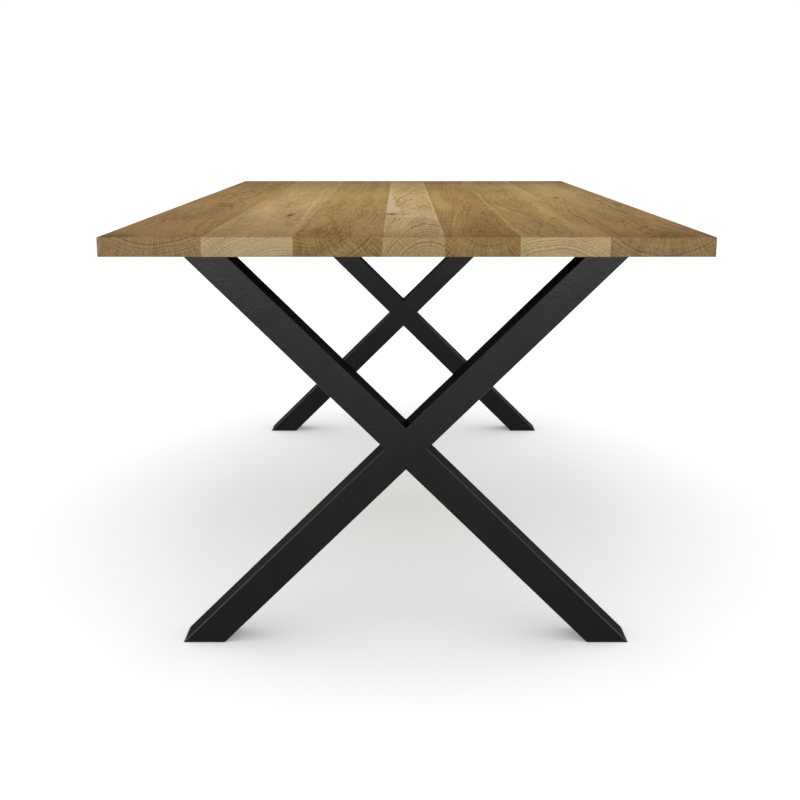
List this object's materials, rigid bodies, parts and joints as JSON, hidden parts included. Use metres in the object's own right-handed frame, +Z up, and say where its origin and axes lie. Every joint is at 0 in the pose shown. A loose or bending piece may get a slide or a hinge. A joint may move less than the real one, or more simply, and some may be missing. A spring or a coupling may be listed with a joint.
{
  "type": "sawbuck table",
  "caption": "Dining table with a solid oak top of full-length staves on two welded X-shaped frames of black rectangular steel tube.",
  "frame": {"origin": "on the floor under the middle of the table", "axes": "+X across the table, +Y along its length from the front frame to the rear one, +Z up"},
  "size_m": [1, 2, 0.76],
  "materials": {
    "oak": "oiled, matt",
    "powder_coated_steel": "satin black powder coat with a fine texture",
    "zinc_plated_steel": "bright zinc plate",
    "polyethylene": "moulded, matt black"
  },
  "bodies": {
    "root": {"stave_1": "oak", "stave_2": "oak", "stave_3": "oak", "stave_4": "oak", "stave_5": "oak", "stave_6": "oak", "stave_7": "oak", "front_through_leg": "powder_coated_steel", "front_upper_half_leg": "powder_coated_steel", "front_lower_half_leg": "powder_coated_steel", "front_welds": "powder_coated_steel", "front_left_foot_cap": "polyethylene", "front_right_foot_cap": "polyethylene", "front_mounting_plate": "powder_coated_steel", "front_bolts": "zinc_plated_steel", "front_inserts": "zinc_plated_steel", "rear_through_leg": "powder_coated_steel", "rear_upper_half_leg": "powder_coated_steel", "rear_lower_half_leg": "powder_coated_steel", "rear_welds": "powder_coated_steel", "rear_left_foot_cap": "polyethylene", "rear_right_foot_cap": "polyethylene", "rear_mounting_plate": "powder_coated_steel", "rear_bolts": "zinc_plated_steel", "rear_inserts": "zinc_plated_steel", "stiffener": "powder_coated_steel", "stiffener_screws": "zinc_plated_steel"}
  },
  "joints": []
}
